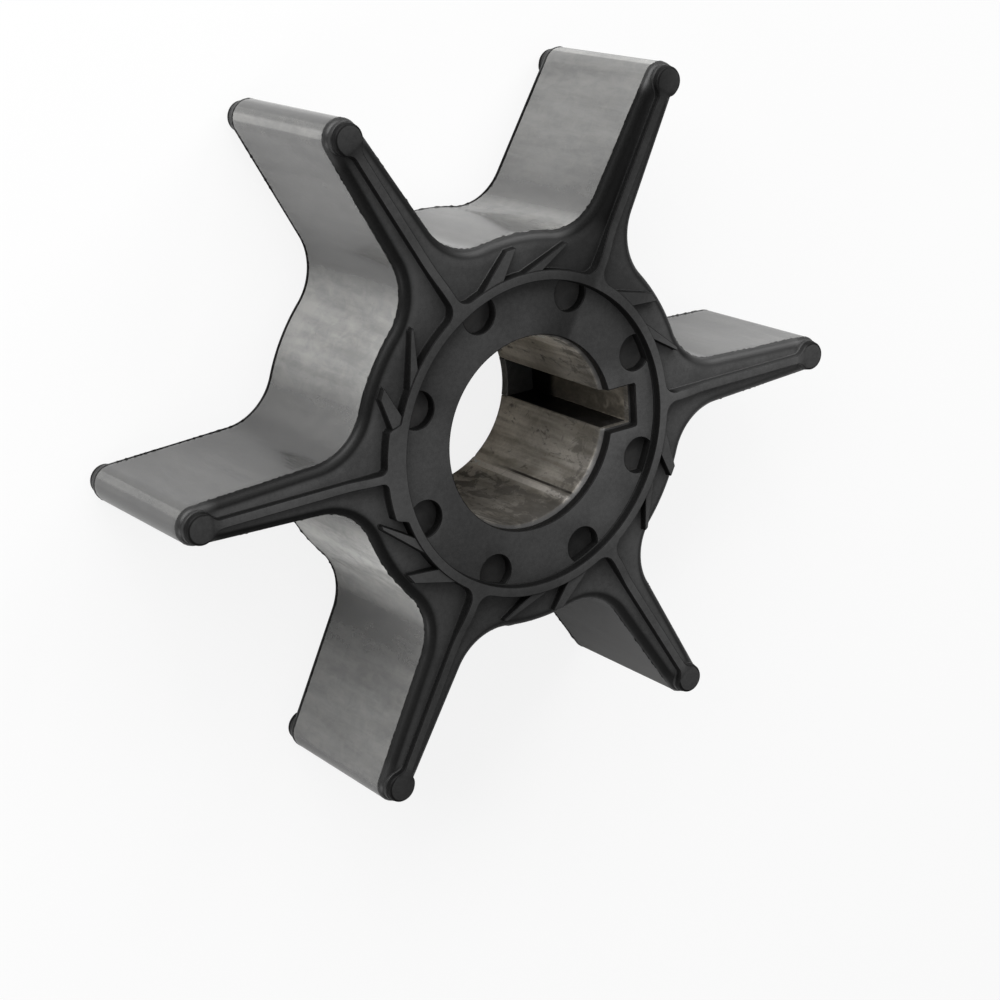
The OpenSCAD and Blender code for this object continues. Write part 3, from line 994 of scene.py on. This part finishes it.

# %% [markdown]
# Metal of the bush
#
# The bush is a dull grey-brown metal with darker stains, tool marks along the bore and small pits.
# A plain metal shader would look new, so roughness and colour both follow the same stains. One dark
# seam runs along the bore beside a narrow painted highlight. The bore is palest round 72 degrees
# and low down; it has dirt in patches, and is darker towards its upper end and round -90 degrees.
# The walls of the keyway and the lower end of its floor are painted shade, almost black. The ends
# that show in the notches are a dull grey, with painted shade on the side away from the lamps.

# %% Metal finish
def bush_metal():
    """Stained metal in the bore and keyway, and dull grey at the ends."""
    material, wire = new_material("mottled_bush_metal")
    spot = place_in_mm(wire)
    reach, turn, z = round_the_axis(wire, spot)
    end = facing(wire, "Z").rise(0.35, 0.85)
    # Noise: stains, pits, tool marks along the bore, and dirt.
    stain = cloud(wire, spot, 0.42, 4.0, 0.6, (1, 1, 0.5), 0.4)
    speck = cloud(wire, spot, 3.4, 4.0, 0.7)
    streak = cloud(wire, spot, 1.3, 3.0, 0.55, (1, 1, 0.06))
    grime = cloud(wire, spot, 1.1, 5.0, 0.7, (1, 1, 0.6), 0.6)
    # Bore: clean metal, a painted highlight strip, the seam, and dirt and darkening over them all.
    dark_side = turn.near(-90.0, 22.0, 30.0)
    pale_side = turn.near(72.0, 26.0, 52.0)
    # Dirt in patches, and a darkening towards the upper end and round -90 degrees.
    dirt_and_darkening = (grime + 0.10 * z.rise(8.5, 12.6) + 0.12 * dark_side).rise(0.56, 0.68)
    marks = (0.5 * stain + 0.5 * streak).rise(0.38, 0.62)
    clean = marks.between((0.26, 0.24, 0.205, 1), (0.52, 0.49, 0.445, 1))
    # Painted highlight: a narrow pale strip beside the seam.
    with_highlight_strip = turn.near(-60.0, 1.7, 2.3).between(clean, (0.56, 0.53, 0.49, 1))
    seam = turn.near(math.degrees(SEAM_AT), 0.5, 1.2) * z.rise(3.0, 7.0)
    lined = seam.between(with_highlight_strip, (0.05, 0.045, 0.04, 1))
    soiled = (dirt_and_darkening * 0.8).between(lined, (0.075, 0.068, 0.058, 1))
    depth = 1.75 - 0.8 * z.rise(1.0, 8.0) - 0.45 * z.rise(9.5, 13.0)
    wall = soiled * ((0.7 + 0.6 * speck) * (1.1 + 1.4 * pale_side) * depth * (1 - 0.4 * dark_side))
    # Keyway: painted shade makes its walls and the lower end of its floor dark.
    slot = reach.rise(7.12, 7.3) * (1 - z.rise(12.9, 13.0))
    slot_marks = (grime * 0.6 + 0.4 * speck).rise(0.3, 0.7)
    slot_floor = slot_marks.between((0.16, 0.145, 0.12, 1), (0.28, 0.25, 0.205, 1))
    painted_slot_shade = 1 - (1 - facing(wire, "Y").rise(0.6, 0.8)) * z.rise(3.6, 4.6)
    inner = slot.between(wall, painted_slot_shade.between(slot_floor, (0.012, 0.011, 0.01, 1)))
    # Ends: dull grey, darker on the side away from the lamps.
    dull = stain.rise(0.3, 0.7).between(grey(0.034), grey(0.056, 0.02))
    ends = dull * (1 - 0.7 * turn.near(-108.0, 44.0, 56.0))
    bumpy_shader(wire, 0.5 * speck + 0.5 * streak, 0.4, 0.00008, {
        "Base Color": end.between(inner, ends),
        "Roughness": 0.34 + 0.2 * stain + 0.12 * speck + 0.1 * dirt_and_darkening,
        "Metallic": (0.72 - 0.5 * end) * (1 - 0.5 * dirt_and_darkening)})
    return material


metal_finish = bush_metal()
print("nodes in the metal finish:", len(metal_finish.node_tree.nodes))

# %% [markdown]
# Dressing the two nodes
#
# The new pieces stand for the plain solids, which stay in the model for collision. The part has no
# joint, so every piece rides on its one body. The body and the lower lip also take the side finish,
# on the faces that were marked glossy when they were made.

# %% Give the pieces their finishes and hang them on the part
rubber_pieces = [wheel_body, upper_ribs, lower_ribs, upper_bars, lower_bars, upper_lip, lower_lip]
for piece in rubber_pieces:
    piece.data.materials.append(end_finish)
    if piece in (wheel_body, lower_lip):
        piece.data.materials.append(side_finish)
    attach(piece, "root")
    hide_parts("impeller_wheel")
bush.data.materials.append(metal_finish)
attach(bush, "root")
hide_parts("hub_bush")
print("rubber pieces:", len(rubber_pieces))

# %% [markdown]
# Floor and light
#
# The part lies on a plain pale floor. The photograph has a white ground, so the floor shows itself
# to the camera mostly as white of strength 1, and keeps a share of its real shading, which holds
# the soft shadow. The light is an even room and four large soft lamps, all of them low. Three stand
# on the side that is uppermost in the picture, and a weaker one stands at its lower left.

# %% Floor
FLOOR_HALF = 3000
FLOOR_WHITE = 0.85


def floor_finish():
    """Pale floor that the camera sees mostly as plain white."""
    material, wire = new_material("pale_floor")
    diffuse = wire.node("ShaderNodeBsdfDiffuse", None, {"Color": grey(0.8)})
    glow = wire.node("ShaderNodeEmission", None, {"Color": grey(1.0), "Strength": 1.0})
    camera_ray = wire.node("ShaderNodeLightPath", output="Is Camera Ray")
    inputs = {0: camera_ray * FLOOR_WHITE, 1: diffuse, 2: glow}
    finish_surface(wire, wire.node("ShaderNodeMixShader", None, inputs))
    return material


floor_shell = Shell()
floor_corners = [(-1, -1), (1, -1), (1, 1), (-1, 1)]
floor_shell.ring([(FLOOR_HALF * x, FLOOR_HALF * y, 0) for x, y in floor_corners])
floor_shell.faces.append((0, 1, 2, 3))
floor = floor_shell.make("floor")
floor.data.materials.append(floor_finish())

# %% Room light
world = bpy.data.worlds.new("studio")
bpy.context.scene.world = world
world.use_nodes = True
world.node_tree.nodes.clear()
room = Wire(world.node_tree)
seen = room.node("ShaderNodeLightPath", output="Is Camera Ray")
ground = room.node("ShaderNodeBackground", None, {"Color": grey(0.9), "Strength": 0.3})
white = room.node("ShaderNodeBackground", None, {"Color": grey(1.0), "Strength": 1.0})
both = room.node("ShaderNodeMixShader", None, {0: seen, 1: ground, 2: white})
world_out = world.node_tree.nodes.new("ShaderNodeOutputWorld")
room.plug(world_out.inputs["Surface"], both)
print("nodes in the room light:", len(world.node_tree.nodes))

# %% Lamps
AIM = Vector((0, 0, 0.007))


def lamp(name, place, size, power):
    """A square soft lamp that looks at the part; sizes in metres, power in watts."""
    data = bpy.data.lights.new(name, "AREA")
    data.shape = "SQUARE"
    data.size = size
    data.energy = power
    made = bpy.data.objects.new(name, data)
    made.location = place
    made.rotation_euler = (AIM - Vector(place)).to_track_quat("-Z", "Y").to_euler()
    bpy.context.scene.collection.objects.link(made)
    print(name, "watts:", power)


lamp("soft_back", (-0.037, 0.421, 0.161), 0.3, 1.4)
lamp("soft_corner", (-0.264, 0.315, 0.190), 0.3, 1.9)
lamp("soft_right", (0.255, 0.304, 0.218), 0.25, 0.9)
lamp("soft_left", (-0.396, -0.185, 0.116), 0.2, 0.7)

# %% [markdown]
# Closing
#
# The plain view transform keeps colours as they are written.

# %% Colours stay as written
bpy.context.scene.view_settings.view_transform = "Standard"
